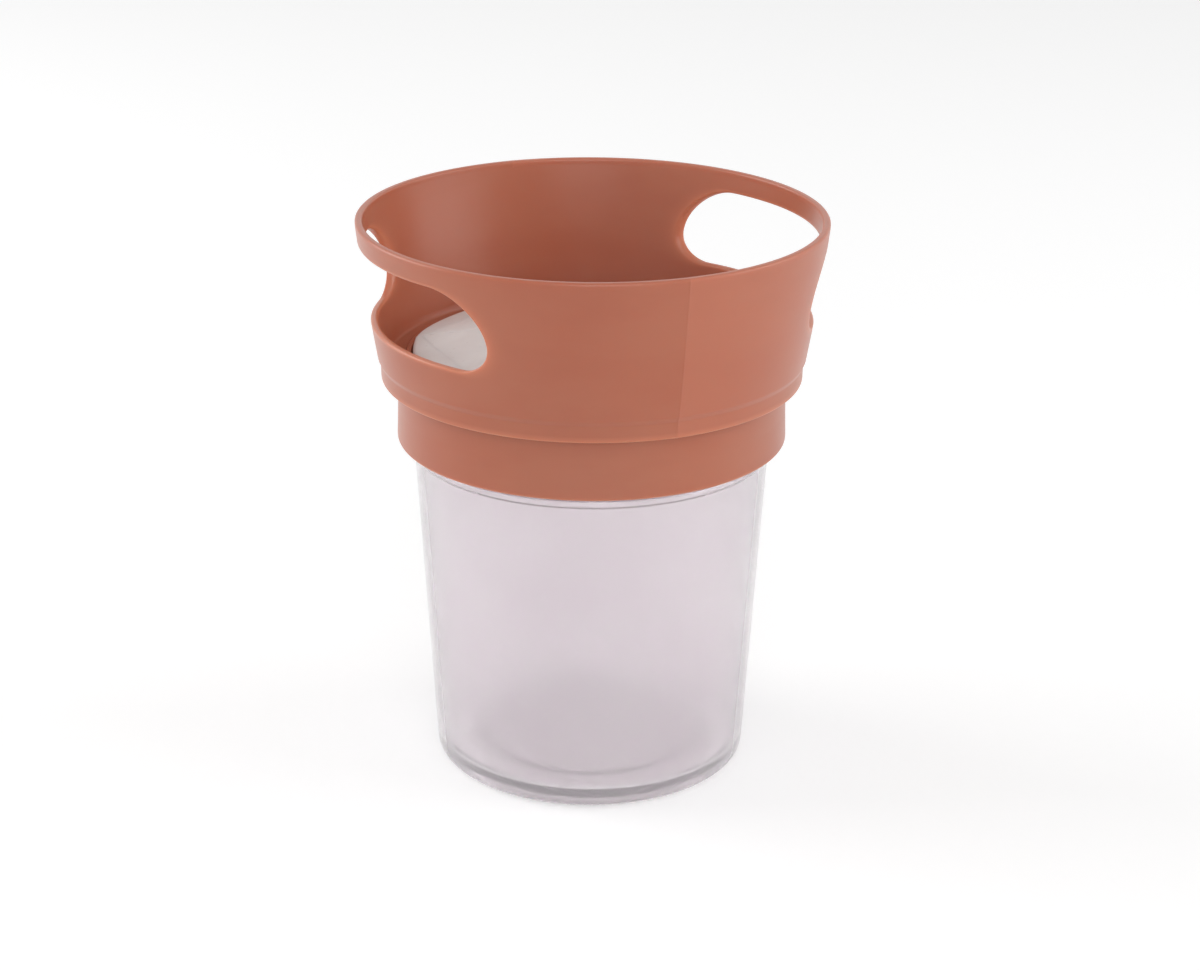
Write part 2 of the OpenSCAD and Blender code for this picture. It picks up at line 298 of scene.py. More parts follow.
class Shader:
    """A material's node tree, with short ways to add and join nodes."""

    def __init__(self, name: str) -> None:
        """Makes the material with one Principled shader.

        Args:
            name: the material's name.
        """
        self.material = bpy.data.materials.new(name)
        self.material.use_nodes = True
        self.tree = self.material.node_tree
        self.tree.nodes.clear()
        output = self.tree.nodes.new("ShaderNodeOutputMaterial")
        self.surface = self.tree.nodes.new("ShaderNodeBsdfPrincipled")
        self.join(self.surface.outputs["BSDF"], output.inputs["Surface"])
        self.place = self.tree.nodes.new("ShaderNodeTexCoord").outputs["Object"]

    def join(self, source: bpy.types.NodeSocket, target: bpy.types.NodeSocket) -> None:
        """Links one socket to another."""
        self.tree.links.new(source, target)

    def drive(self, key: str, source: bpy.types.NodeSocket) -> None:
        """Feeds one input of the Principled shader."""
        self.join(source, self.surface.inputs[key])

    def set(self, **values: object) -> None:
        """Sets constant values on the Principled shader, underscores standing for spaces."""
        for key, value in values.items():
            self.surface.inputs[key.replace("_", " ")].default_value = value

    def group(self, tree: bpy.types.NodeTree, **values: float) -> bpy.types.Node:
        """Places a shared node group that reads the piece's own coordinates.

        Args:
            tree: the group's tree.
            values: constants for its inputs.

        Returns:
            The group's node.
        """
        node = self.tree.nodes.new("ShaderNodeGroup")
        node.node_tree = tree
        self.join(self.place, node.inputs["Place"])
        for key, value in values.items():
            node.inputs[key].default_value = value
        return node

    def layer(self, name: str) -> bpy.types.NodeSocket:
        """Reads one of the piece's own value layers.

        Args:
            name: the layer's name.

        Returns:
            The value's socket.
        """
        node = self.tree.nodes.new("ShaderNodeAttribute")
        node.attribute_name = name
        return node.outputs["Fac"]

    def mix(self, share: bpy.types.NodeSocket, a: Colour | bpy.types.NodeSocket,
            b: Colour) -> bpy.types.NodeSocket:
        """Mixes two colours by a mask.

        Args:
            share: the mask.
            a: the colour or socket where the mask is 0.
            b: the colour where the mask is 1.

        Returns:
            The mixed colour's socket.
        """
        node = self.tree.nodes.new("ShaderNodeMix")
        node.data_type = "RGBA"
        self.join(share, node.inputs[0])
        if isinstance(a, bpy.types.NodeSocket):
            self.join(a, node.inputs[6])
        else:
            node.inputs[6].default_value = (*a, 1.0)
        node.inputs[7].default_value = (*b, 1.0)
        return node.outputs[2]

    def span(self, source: bpy.types.NodeSocket, within: Range,
             to: Range = (0.0, 1.0)) -> bpy.types.NodeSocket:
        """Maps a value from one range to another, clamped.

        Args:
            source: the value.
            within: the range that is read.
            to: the range it becomes.

        Returns:
            The new value's socket.
        """
        node = self.tree.nodes.new("ShaderNodeMapRange")
        self.join(source, node.inputs["Value"])
        for key, value in zip(("From Min", "From Max", "To Min", "To Max"), (*within, *to)):
            node.inputs[key].default_value = value
        return node.outputs["Result"]

    def times(self, source: bpy.types.NodeSocket, factor: float) -> bpy.types.NodeSocket:
        """A value times a factor, clamped to 0..1.

        Args:
            source: the value.
            factor: the factor.

        Returns:
            The product's socket.
        """
        node = self.tree.nodes.new("ShaderNodeMath")
        node.operation = "MULTIPLY"
        node.use_clamp = True
        self.join(source, node.inputs[0])
        node.inputs[1].default_value = factor
        return node.outputs[0]

    def bump(self, height: bpy.types.NodeSocket, strength: float, distance: float) -> None:
        """Adds a bump to the surface's normal.

        Args:
            height: the height's socket.
            strength: how much of it counts.
            distance: what a height of 1 stands for, in metres.
        """
        node = self.tree.nodes.new("ShaderNodeBump")
        node.inputs["Strength"].default_value = strength
        node.inputs["Distance"].default_value = distance
        self.join(height, node.inputs["Height"])
        self.drive("Normal", node.outputs["Normal"])


class Effects:
    """The node groups that more than one finish uses. Their scales count features in a metre."""

    cloud_scale = 55.0
    streak_scale = 60.0
    streak_stretch = (1.0, 1.0, 2.6)
    speck_scale = 420.0
    speck_rim = 0.16
    speck_core = 0.06
    ripple_scale = 260.0
    tooth_scale = 2600.0

    def __init__(self) -> None:
        """Builds the groups once."""
        self.mottle = self._mottle()
        self.specks = self._specks()
        self.grain = self._grain()

    @staticmethod
    def _start(name: str, inputs: dict[str, float],
               outputs: Sequence[str]) -> tuple[bpy.types.NodeTree, bpy.types.Node, bpy.types.Node]:
        """Makes an empty group with a Place input.

        Args:
            name: the group's name.
            inputs: name and default of each further input.
            outputs: names of the value outputs.

        Returns:
            The tree, its input node and its output node.
        """
        tree = bpy.data.node_groups.new(name, "ShaderNodeTree")
        tree.interface.new_socket("Place", in_out="INPUT", socket_type="NodeSocketVector")
        for key, default in inputs.items():
            socket = tree.interface.new_socket(key, in_out="INPUT", socket_type="NodeSocketFloat")
            socket.default_value = default
        for key in outputs:
            tree.interface.new_socket(key, in_out="OUTPUT", socket_type="NodeSocketFloat")
        return tree, tree.nodes.new("NodeGroupInput"), tree.nodes.new("NodeGroupOutput")

    @staticmethod
    def _noise(tree: bpy.types.NodeTree, place: bpy.types.NodeSocket, scale: float,
               detail: float, stretch: Sequence[float] = (1.0, 1.0, 1.0)) -> bpy.types.NodeSocket:
        """Noise over stretched coordinates.

        Args:
            tree: the group's tree.
            place: the coordinates.
            scale: features in a metre.
            detail: how many finer layers it has.
            stretch: factor of each coordinate.

        Returns:
            The noise's socket.
        """
        mapping = tree.nodes.new("ShaderNodeMapping")
        mapping.inputs["Scale"].default_value = stretch
        tree.links.new(place, mapping.inputs["Vector"])
        noise = tree.nodes.new("ShaderNodeTexNoise")
        noise.inputs["Scale"].default_value = scale
        noise.inputs["Detail"].default_value = detail
        tree.links.new(mapping.outputs["Vector"], noise.inputs["Vector"])
        return noise.outputs["Fac"]

    @staticmethod
    def _math(tree: bpy.types.NodeTree, kind: str, a: bpy.types.NodeSocket,
              b: bpy.types.NodeSocket) -> bpy.types.NodeSocket:
        """One arithmetic step on two values.

        Args:
            tree: the group's tree.
            kind: Blender's name of the step.
            a: the first value.
            b: the second value.

        Returns:
            The result's socket.
        """
        node = tree.nodes.new("ShaderNodeMath")
        node.operation = kind
        tree.links.new(a, node.inputs[0])
        tree.links.new(b, node.inputs[1])
        return node.outputs[0]

    def _mottle(self) -> bpy.types.NodeTree:
        """Cloudy unevenness of moulded plastic: broad clouds, and streaks where it flowed.

        Returns:
            The group's tree.
        """
        tree, start, end = self._start("mottle", {"Scale": 1.0}, ["Clouds", "Streaks"])
        scaled = tree.nodes.new("ShaderNodeVectorMath")
        scaled.operation = "SCALE"
        tree.links.new(start.outputs["Place"], scaled.inputs[0])
        tree.links.new(start.outputs["Scale"], scaled.inputs["Scale"])
        clouds = self._noise(tree, scaled.outputs[0], self.cloud_scale, 3.0)
        streaks = self._noise(tree, scaled.outputs[0], self.streak_scale, 4.0, self.streak_stretch)
        tree.links.new(clouds, end.inputs["Clouds"])
        tree.links.new(streaks, end.inputs["Streaks"])
        return tree

    def _specks(self) -> bpy.types.NodeTree:
        """Specks of dust as a mask: a soft dot in the middle of each cell.

        Returns:
            The group's tree.
        """
        tree, start, end = self._start("specks", {}, ["Specks"])
        cells = tree.nodes.new("ShaderNodeTexVoronoi")
        cells.inputs["Scale"].default_value = self.speck_scale
        tree.links.new(start.outputs["Place"], cells.inputs["Vector"])
        speck = tree.nodes.new("ShaderNodeMapRange")
        tree.links.new(cells.outputs["Distance"], speck.inputs["Value"])
        speck.inputs["From Min"].default_value = self.speck_rim
        speck.inputs["From Max"].default_value = self.speck_core
        tree.links.new(speck.outputs["Result"], end.inputs["Specks"])
        return tree

    def _grain(self) -> bpy.types.NodeTree:
        """Fine surface grain as a height: a soft ripple with a finer tooth on it.

        Returns:
            The group's tree.
        """
        tree, start, end = self._start("grain", {"Tooth": 0.3}, ["Height"])
        ripple = self._noise(tree, start.outputs["Place"], self.ripple_scale, 2.0)
        tooth = self._noise(tree, start.outputs["Place"], self.tooth_scale, 1.0)
        scaled = self._math(tree, "MULTIPLY", tooth, start.outputs["Tooth"])
        tree.links.new(self._math(tree, "ADD", ripple, scaled), end.inputs["Height"])
        return tree


@dataclass(frozen=True)
class Finish:
    """What all finishes share: mottled, finely grained, and a little see-through."""

    name: str
    mottle_scale: float
    rough: Range
    scatter: Colour
    scatter_share: float
    tooth: float
    grain: float
    clouds_within: Range = (0.35, 0.65)
    rough_mask: str = "Clouds"
    rough_within: Range = (0.3, 0.7)
    scatter_d: float = 0.003
    grain_h: float = 0.00005

    def make(self, effects: Effects) -> bpy.types.Material:
        """Builds the material.

        Args:
            effects: the shared node groups.

        Returns:
            The finished material.
        """
        s = Shader(self.name)
        mottle = s.group(effects.mottle, Scale=self.mottle_scale)
        grain = s.group(effects.grain, Tooth=self.tooth)
        s.drive("Base Color", self.colour(s, mottle, effects))
        s.drive("Roughness", s.span(mottle.outputs[self.rough_mask], self.rough_within, self.rough))
        s.set(Subsurface_Weight=self.scatter_share, Subsurface_Scale=self.scatter_d,
              Subsurface_Radius=self.scatter)
        s.bump(grain.outputs["Height"], self.grain, self.grain_h)
        self.gloss(s)
        return s.material

    def colour(self, s: Shader, mottle: bpy.types.Node, effects: Effects) -> bpy.types.NodeSocket:
        """Mixes the finish's colours, and returns the mix."""
        raise NotImplementedError

    def gloss(self, s: Shader) -> None:
        """Sets how the finish reflects and lets light through."""
        raise NotImplementedError


@dataclass(frozen=True)
class ShellPlastic(Finish):
    """Satin terracotta plastic, blotchy, with a painted glow on its thin edges where light shines through
    them.

    Its roughness stays above 0.28, because the denoiser draws contour lines on
    a surface whose roughness crosses that level.
    """

    name: str = "terracotta_plastic"
    base: Colour = (0.43, 0.126, 0.066)
    pale: Colour = (0.44, 0.148, 0.084)
    deep: Colour = (0.40, 0.108, 0.055)
    # Painted highlight colour for the side right of the parting line, where light from the right falls.
    light: Colour = (0.55, 0.19, 0.115)
    # Painted glow colour of thin edges that light shines through.
    painted_glow: Colour = (0.58, 0.205, 0.11)
    mottle_scale: float = 0.45
    clouds_within: Range = (0.3, 0.7)
    streaks_within: Range = (0.45, 0.75)
    streaks: Range = (0.0, 0.6)
    rough_within: Range = (0.35, 0.65)
    rough: Range = (0.29, 0.36)
    scatter: Colour = (1.0, 0.35, 0.2)
    scatter_share: float = 0.35
    scatter_d: float = 0.004
    tooth: float = 0.15
    grain: float = 0.25
    grain_h: float = 0.00006

    def colour(self, s: Shader, mottle: bpy.types.Node, effects: Effects) -> bpy.types.NodeSocket:
        """Clouds and streaks, then a painted lighter side right of the parting line, then a painted glow on
        the thin edges.

        Args:
            s: the material's shader.
            mottle: the node with clouds and streaks.
            effects: the shared node groups.

        Returns:
            The colour's socket.
        """
        mixed = s.mix(s.span(mottle.outputs["Clouds"], self.clouds_within), self.base, self.pale)
        streaks = s.span(mottle.outputs["Streaks"], self.streaks_within, self.streaks)
        mixed = s.mix(streaks, mixed, self.deep)
        # Painted light: the side right of the parting line is lighter, as light from the right falls there.
        mixed = s.mix(s.layer(LIT_SIDE_LAYER), mixed, self.light)
        # Painted glow on the thin edges.
        return s.mix(s.layer(GLOW_LAYER), mixed, self.painted_glow)

    def gloss(self, s: Shader) -> None:
        """A plain satin surface."""
        s.set(IOR=1.49, Specular_IOR_Level=0.5)


@dataclass(frozen=True)
class JarPlastic(Finish):
    """Glossy, slightly milky plastic with a faint lilac tint."""

    name: str = "clear_jar_plastic"
    tint: Colour = (0.955, 0.90, 0.93)
    haze: Colour = (0.93, 0.87, 0.905)
    mottle_scale: float = 0.6
    rough: Range = (0.14, 0.20)
    scatter: Colour = (1.0, 0.9, 1.0)
    scatter_share: float = 0.5
    tooth: float = 0.05
    grain: float = 0.12

    def colour(self, s: Shader, mottle: bpy.types.Node, effects: Effects) -> bpy.types.NodeSocket:
        """The tint, with clouds of haze."""
        return s.mix(s.span(mottle.outputs["Clouds"], self.clouds_within), self.tint, self.haze)

    def gloss(self, s: Shader) -> None:
        """Mostly clear, under a smoother skin."""
        s.set(Transmission_Weight=0.78, IOR=1.45, Coat_Weight=0.5, Coat_Roughness=0.06)


@dataclass(frozen=True)
class Silicone(Finish):
    """Matte pale silicone with a dusty bloom."""

    name: str = "pale_silicone"
    base: Colour = (0.76, 0.70, 0.68)
    bloom: Colour = (0.82, 0.77, 0.75)
    dust: Colour = (0.64, 0.56, 0.53)
    mottle_scale: float = 1.4
    dust_share: float = 0.35
    rough_mask: str = "Streaks"
    rough: Range = (0.52, 0.66)
    scatter: Colour = (1.0, 0.85, 0.75)
    scatter_share: float = 0.3
    tooth: float = 0.6
    grain: float = 0.35

    def colour(self, s: Shader, mottle: bpy.types.Node, effects: Effects) -> bpy.types.NodeSocket:
        """Clouds of bloom, with specks of dust.

        Args:
            s: the material's shader.
            mottle: the node with clouds and streaks.
            effects: the shared node groups.

        Returns:
            The colour's socket.
        """
        mixed = s.mix(s.span(mottle.outputs["Clouds"], self.clouds_within), self.base, self.bloom)
        specks = s.group(effects.specks).outputs["Specks"]
        return s.mix(s.times(specks, self.dust_share), mixed, self.dust)

    def gloss(self, s: Shader) -> None:
        """Matte, with a faint sheen."""
        s.set(IOR=1.41, Sheen_Weight=0.12, Sheen_Roughness=0.5)


def make_finishes() -> Finishes:
    """Makes each slot's material once, from shared effects.

    Returns:
        Each slot's material.
    """
    effects = Effects()
    kinds = {
        Slot.SHELL: ShellPlastic(),
        Slot.JAR: JarPlastic(),
        Slot.GUARD: Silicone(),
        Slot.SEAL: Silicone(
            "seal_silicone", base=(0.70, 0.67, 0.64), bloom=(0.78, 0.75, 0.72), dust=(0.6, 0.56, 0.53)),
    }
    return {slot: kind.make(effects) for slot, kind in kinds.items()}


def dress(piece: bpy.types.Object, finishes: Finishes, slot: Slot, node: str) -> None:
    """Gives a piece its finish and hides the CAD node that it stands for.

    Args:
        piece: the new piece.
        finishes: each slot's material.
        slot: the record's slot of the piece.
        node: the CAD node it replaces.
    """
    piece.data.materials.append(finishes[slot])
    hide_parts(node)


class Moulding:
    """A sub-assembly that is one moulded piece and rides on one body."""

    node: str
    slot: Slot
    body: Body

    def shell(self) -> bpy.types.Object:
        """Builds the piece's closed surface."""
        raise NotImplementedError

    def build(self, finishes: Finishes) -> list[bpy.types.Object]:
        """Builds and dresses the piece.

        Args:
            finishes: each slot's material.

        Returns:
            The one piece.
        """
        piece = self.shell()
        dress(piece, finishes, self.slot, self.node)
        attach(piece, self.body.value)
        return [piece]


@dataclass
class Jar(Moulding):
    """The clear tapered jar with its threaded neck, in millimetres."""

    node = "jar"
    slot = Slot.JAR
    body = Body.JAR

    foot_r: float = 36.85
    top_r: float = 41.6
    wall: float = 1.8
    floor_t: float = 3.2
    base_round: float = 2.8
    hollow: float = 0.8
    ring_w: float = 4.2
    groove_r: float = 26.0
    groove_w: float = 2.4
    groove_d: float = 0.7
    groove_slope: float = 0.5
    neck_round: float = 0.5
    shoulder_drop: float = 2.8
    bead_h: float = 1.3
    bead_out: float = 0.5
    columns: int = 360
    row_gap: float = 1.8
    thread_gap: float = 0.3

    def wall_r(self, z: float) -> float:
        """Outer radius of the tapered wall at height z."""
        return self.foot_r + (self.top_r - self.foot_r) * z / STACK.shoulder_z

    def outline(self) -> np.ndarray:
        """Half section of the jar: from the base's middle, up the outside, to the floor's middle.

        Returns:
            The points as (radius, height).
        """
        s = STACK
        ring_r = self.foot_r - self.base_round
        bead_z = s.shoulder_z - self.bead_h
        bead_r = self.top_r + self.bead_out
        floor_z = self.floor_t + self.hollow
        inner_low_r = self.wall_r(floor_z) - self.wall
        inner_top_z = s.shoulder_z - self.shoulder_drop
        g0, g1 = self.groove_r - self.groove_w / 2, self.groove_r + self.groove_w / 2
        return rounded([
            (0, self.hollow, 0),
            (ring_r - self.ring_w - self.hollow, self.hollow, 0.8),
            (ring_r - self.ring_w, 0, 0.5),
            (self.foot_r + 0.1, 0, self.base_round),
            (self.wall_r(bead_z - 0.6), bead_z - 0.6, 0.4),
            (bead_r, bead_z, 0.35), (bead_r, s.shoulder_z, 0.4),
            (s.neck_r, s.shoulder_z, self.neck_round), (s.neck_r, s.lip_z, self.neck_round),
            (s.neck_in_r, s.lip_z, self.neck_round), (s.neck_in_r, s.shoulder_z, 1.0),
            (self.wall_r(inner_top_z) - self.wall, inner_top_z, 1.0),
            (inner_low_r, floor_z, self.base_round),
            (g1, floor_z, 0.2), (g1 - self.groove_slope, floor_z - self.groove_d, 0.2),
            (g0 + self.groove_slope, floor_z - self.groove_d, 0.2), (g0, floor_z, 0.2),
            (0, floor_z, 0),
        ])

    def shell(self) -> bpy.types.Object:
        """Turns the half section round the axis and raises the thread on the neck.

        Returns:
            The jar as one closed piece.
        """
        path = resampled(self.outline(), self.row_gap)
        low, high = STACK.shoulder_z + self.neck_round, STACK.lip_z - self.neck_round
        fine = resampled(np.array([[STACK.neck_r, low], [STACK.neck_r, high]]), self.thread_gap)
        on_neck = np.abs(path[:, 0] - STACK.neck_r) < 1e-6
        first = int(on_neck.argmax())
        last = first + int(on_neck[first:].argmin())
        path = np.vstack([path[:first], fine, path[last:]])
        r, z = path[:, :1], path[:, 1:]
        theta = full_turn(self.columns)
        thread = Thread(STACK.thread_depth, STACK.neck_thread_z)
        on_neck = (np.abs(r - STACK.neck_r) < 1e-6) & (z > STACK.shoulder_z)
        raised = np.where(on_neck, thread.height(theta, z), 0.0)
        work = Patchwork()
        work.add(turned(r + raised, z, theta), wrap=True)
        return work.build("jar_shell")


@dataclass
class Collar(Moulding):
    """The screw collar: a band with a thread inside and a snap ring on top."""

    node = "screw_collar"
    slot = Slot.SHELL
    body = Body.TOP

    gap_h: float = 1.4
    flare: float = 0.25
    snap_r: float = 42.9
    snap_h: float = 3.0
    bead_r: float = 43.6
    bead_h: float = 1.9
    lug_reach: float = 1.4
    lug_half_w: float = 3.5
    lug_h: float = 1.7
    lug_soft: float = 0.3
    # Height of the painted glow along the collar's thin bottom edge.
    glow_h: float = 0.8
    row_gap: float = 0.35
    columns: int = 360

    def shell(self) -> bpy.types.Object:
        """Turns the collar's closed section, and raises the inner thread and the drive lugs on it.

        Returns:
            The collar as one closed piece.
        """
        s = STACK
        low_z, top_z, bead_z = s.shoulder_z + self.gap_h, s.bowl_z + self.snap_h, s.bowl_z + self.bead_h
        outside = rounded([
            (s.collar_in_r, low_z, 0.5), (s.collar_r + self.flare, low_z, 0.55),
            (s.collar_r, (low_z + s.roof_z) / 2, 6.0), (s.collar_r, s.bowl_z, 0.5),
            (self.snap_r, s.bowl_z, 0.0), (self.snap_r, bead_z - 0.2, 0.0),
            (self.bead_r, bead_z + 0.3, 0.25), (self.snap_r, top_z, 0.3),
            (s.collar_hole_r, top_z, 0.3), (s.collar_hole_r, s.roof_z, 0.2),
            (s.collar_in_r, s.roof_z, 0.5),
        ], closed=True)
        ring = np.vstack([outside, outside[:1]])
        path = resampled(ring, self.row_gap)
        r, z = path[:-1, :1], path[:-1, 1:]
        theta = full_turn(self.columns)
        thread = Thread(s.thread_depth, s.neck_thread_z - s.thread_drop)
        inner = (np.abs(r - s.collar_in_r) < 1e-6) & (z < s.roof_z - 0.6)
        raised = np.where(inner, thread.height(theta, z), 0.0)
        across = np.abs(s.collar_r * np.cos(theta))
        lug = smooth((self.lug_half_w + self.lug_soft - across) / (2 * self.lug_soft))
        on_ring = (np.abs(r - self.snap_r) < 1e-6) & (z < bead_z) & (z > s.bowl_z - 0.1)
        lug = lug * smooth((s.bowl_z + self.lug_h - z) / self.lug_soft)
        reach = np.where(on_ring, self.lug_reach * lug, 0.0)
        # Painted glow where light shines through the collar's thin bottom edge.
        edge = smooth((low_z + self.glow_h - z) / self.glow_h)
        grid = turned(r - raised + reach, z, theta)
        grid = np.concatenate([grid, grid[:1]])
        edge = np.broadcast_to(np.concatenate([edge, edge[:1]]), grid.shape[:2])
        work = Patchwork()
        work.add(grid, edge, wrap=True)
        return work.build("screw_collar_shell")


@dataclass
class Bowl(Moulding):
    """The flared bowl with two hand openings, cut straight through along X."""

    node = "handle_bowl"
    slot = Slot.SHELL
    body = Body.TOP

    wall: float = 1.7
    foot_r: float = 49.0
    flare: float = 5.0
    bulge: float = 0.25
    height: float = 35.4
    floor_t: float = 1.6
    hole_r: float = 43.2
    skirt_drop: float = 2.0
    skirt_taper: float = 0.2
    skirt_lean: float = 0.05
    crease_h: float = 1.8
    opening_w: float = 69.0
    sill_h: float = 12.1
    head_round: float = 11.1
    sill_round: float = 6.9
    lip_round: float = 0.62
    seam_h: float = 0.06
    seam_w: float = 0.16
    # Painted lighter side right of the parting line, where light from the right falls: its strength and its
    # fade along +X.
    lit_side_tone: float = 0.32
    lit_side_fade: float = 45.0
    tent_h: float = 0.16
    tent_w: float = 6.0
    notch_half_w: float = 4.1
    notch_soft: float = 0.6
    notch_zone: float = 0.9
    notch_d: float = 1.4
    # Painted glow where light shines through the opening's lips, the skin rows beside them and the rim.
    painted_lip_glow: float = 0.7
    glow_beside_lip: tuple[float, ...] = (0.7, 0.4, 0.18, 0.05)
    painted_rim_glow: float = 0.08
    under_patch: float = 3.2
    over_patch: float = 1.5
    across_steps: int = 112
    up_steps: int = 34
    rings: int = 26
    near_deg: tuple[float, ...] = (0.0, 0.1, 0.2, 0.33, 0.6, 1.0)
    last_rings: tuple[float, ...] = (0.975, 0.985, 0.9915, 0.9945, 0.9972, 1.0)

    def patch_levels(self) -> tuple[float, float]:
        """Lowest and highest level of the wall's patch, between the skirt and the rim."""
        return STACK.bowl_z + self.under_patch, STACK.bowl_z + self.height - self.over_patch

    def outer_r(self, z: np.ndarray) -> np.ndarray:
        """Outer radius at height z: a straight flare with a slight parabolic bulge."""
        t = (z - STACK.bowl_z) / (self.height - self.wall / 2)
        return self.foot_r + self.flare * t + 4 * self.bulge * t * (1 - t)

    def seam(self, grid: np.ndarray) -> np.ndarray:
        """Height over the wall at the parting line: a fine bell curve of x on a low, wide tent."""
        line = self.seam_h * np.exp(-((grid[..., 0] / self.seam_w) ** 2))
        return line + self.tent_h * np.exp(-np.abs(grid[..., 0]) / self.tent_w)

    def painted_lit_side(self, grid: np.ndarray) -> np.ndarray:
        """How much painted light the wall gets: a step at the parting line that fades away along +X, where
        light from the right falls.
        """
        x = grid[..., 0]
        return self.lit_side_tone * smooth(x / 0.3) * np.exp(-np.maximum(x, 0.0) / self.lit_side_fade)

    def raised(self, grid: np.ndarray) -> np.ndarray:
        """Moves an outer grid's points outwards by the parting line's height."""
        return pushed_out(grid, self.seam(grid))

    def opening(self, grow: float) -> np.ndarray:
        """Outline of a hand opening, grown outwards, as (y, z) points.

        Two wide arcs round the upper corners and two tighter ones the lower
        corners. The points run once round from the lower left, in four parts
        that meet at the middle of each arc.

        Args:
            grow: how far the outline lies outside the opening.

        Returns:
            The points, one for each column of the wall's patch.
        """
        mid_z = STACK.bowl_z + self.sill_h + self.sill_round
        up, down = self.head_round + grow, self.sill_round + grow
        up_y = self.opening_w / 2 - self.head_round
        down_y = self.opening_w / 2 - self.sill_round

        def arc(y: float, radius: float, a: float, b: float) -> np.ndarray:
            """Points of an arc about (y, mid_z) from angle a to b, in degrees."""
            t = np.radians(np.linspace(a, b, 60))
            return np.stack([y + radius * np.cos(t), mid_z + radius * np.sin(t)], axis=-1)

        def spaced(path: np.ndarray, steps: int) -> np.ndarray:
            """The path at even spacing, its last point left out.

            Args:
                path: points, one row each.
                steps: how many steps it gets.

            Returns:
                One point for each step.
            """
            gaps = np.hypot(*np.diff(path, axis=0).T)
            along = np.concatenate([[0.0], np.cumsum(gaps)])
            at = np.linspace(0, along[-1], steps + 1)[:-1]
            return np.stack([np.interp(at, along, path[:, k]) for k in (0, 1)], axis=-1)

        across, side = len(self.across()) - 1, self.up_steps
        return np.vstack([
            spaced(np.vstack([arc(-down_y, down, 225, 270), arc(down_y, down, 270, 315)]), across),
            spaced(np.vstack([arc(down_y, down, -45, 0), arc(up_y, up, 0, 45)]), side),
            spaced(np.vstack([arc(up_y, up, 45, 90), arc(-up_y, up, 90, 135)]), across),
            spaced(np.vstack([arc(-up_y, up, 135, 180), arc(-down_y, down, 180, 225)]), side),
        ])

    def across(self) -> np.ndarray:
        """Angles from one parting line to the other, closer together beside the lines.

        Returns:
            The angles in radians.
        """
        near = np.radians(self.near_deg)
        half = math.pi / 2
        between = np.linspace(-half + near[-1], half - near[-1], self.across_steps)[1:-1]
        return np.concatenate([-half + near, between, half - near[::-1]])

    def border(self) -> np.ndarray:
        """Outline of half the wall as (angle, z), with a point for each one of the opening.

        Returns:
            The points, in the same order as the opening's.
        """
        half = math.pi / 2
        flat = self.across()
        up = np.linspace(*self.patch_levels(), self.up_steps + 1)
        low, high = (np.full(len(flat), level) for level in self.patch_levels())
        side = np.full(self.up_steps + 1, half)
        return np.vstack([
            np.stack([flat, low], -1)[:-1], np.stack([side, up], -1)[:-1],
            np.stack([flat[::-1], high], -1)[:-1], np.stack([-side, up[::-1]], -1)[:-1],
        ])

    def skin(self, radius: Callable[[np.ndarray], np.ndarray]) -> np.ndarray:
        """Half the wall round the +X opening.

        Each column runs straight, in (angle, z), from the opening's outline to
        the border, and every point lies on the wall's radius at its height.

        Args:
            radius: the wall's radius as a function of height.

        Returns:
            The grid's points.
        """
        outline = self.opening(self.lip_round)
        start = np.stack([np.arcsin(outline[:, 0] / radius(outline[:, 1])), outline[:, 1]], -1)
        t = np.linspace(0, 1, self.rings) ** 1.25
        t = np.unique(np.concatenate([t[:-1], self.last_rings]))[:, None, None]
        place = start[None] * (1 - t) + self.border()[None] * t
        return turned(radius(place[..., 1]), place[..., 1], place[..., 0])

    def lip(self) -> np.ndarray:
        """The rounded edge of the +X opening, from the outer skin to the inner one.

        At each depth the outline is grown by the edge's rounding there, and a
        point lies between the two skins by its depth.

        Returns:
            The grid's points.
        """
        q, w = self.lip_round, self.wall
        turn = np.radians(np.linspace(0, 90, 7))
        depth = np.concatenate([q * (1 - np.cos(turn)), w - q * (1 - np.cos(turn[::-1]))])
        grow = np.concatenate([q * (1 - np.sin(turn)), q * (1 - np.sin(turn[::-1]))])
        rows = []
        for d, g in zip(depth, grow):
            outline = self.opening(g)
            y, z = outline[:, 0], outline[:, 1]
            out_x = np.sqrt(self.outer_r(z) ** 2 - y * y)
            in_x = np.sqrt((self.outer_r(z) - w) ** 2 - y * y)
            rows.append(np.stack([out_x + (in_x - out_x) * d / w, y, z], -1))
        return np.stack(rows)

    def turned_half(self, path: np.ndarray) -> np.ndarray:
        """Half a turn of a half section, from one parting line to the other."""
        return turned(path[:, :1], path[:, 1:], self.across()[None, :])

    def skirt(self) -> np.ndarray:
        """Half section from the outer skin's foot, round the skirt and floor, to the inner skin.

        Returns:
            The points as (radius, height).
        """
        z0 = STACK.bowl_z
        low = z0 - self.skirt_drop
        skirt_r = self.foot_r - self.skirt_taper
        floor_z = z0 + self.floor_t
        top, _ = self.patch_levels()
        return resampled(rounded([
            (float(self.outer_r(top)), top, 0), (skirt_r + self.skirt_lean, z0 + self.crease_h, 1.3),
            (skirt_r, low, 0.45), (skirt_r - self.wall, low, 0.45),
            (skirt_r - self.wall, z0, 0.3), (self.hole_r, z0, 0.2),
            (self.hole_r, floor_z, 0.3), (self.foot_r - self.wall + 0.1, floor_z, 0.9),
            (float(self.outer_r(top)) - self.wall, top, 0),
        ]), 1.2)

    def rim(self) -> np.ndarray:
        """Half section from the outer skin's top, over the rounded rim, to the inner skin.

        Returns:
            The points as (radius, height).
        """
        top = STACK.bowl_z + self.height
        _, high = self.patch_levels()
        r0 = float(self.outer_r(high))
        r1 = self.foot_r + self.flare
        return resampled(rounded([
            (r0, high, 0), (r1, top, 0.6), (r1 - self.wall, top, 0.6), (r0 - self.wall, high, 0),
        ], steps=7), 0.6)

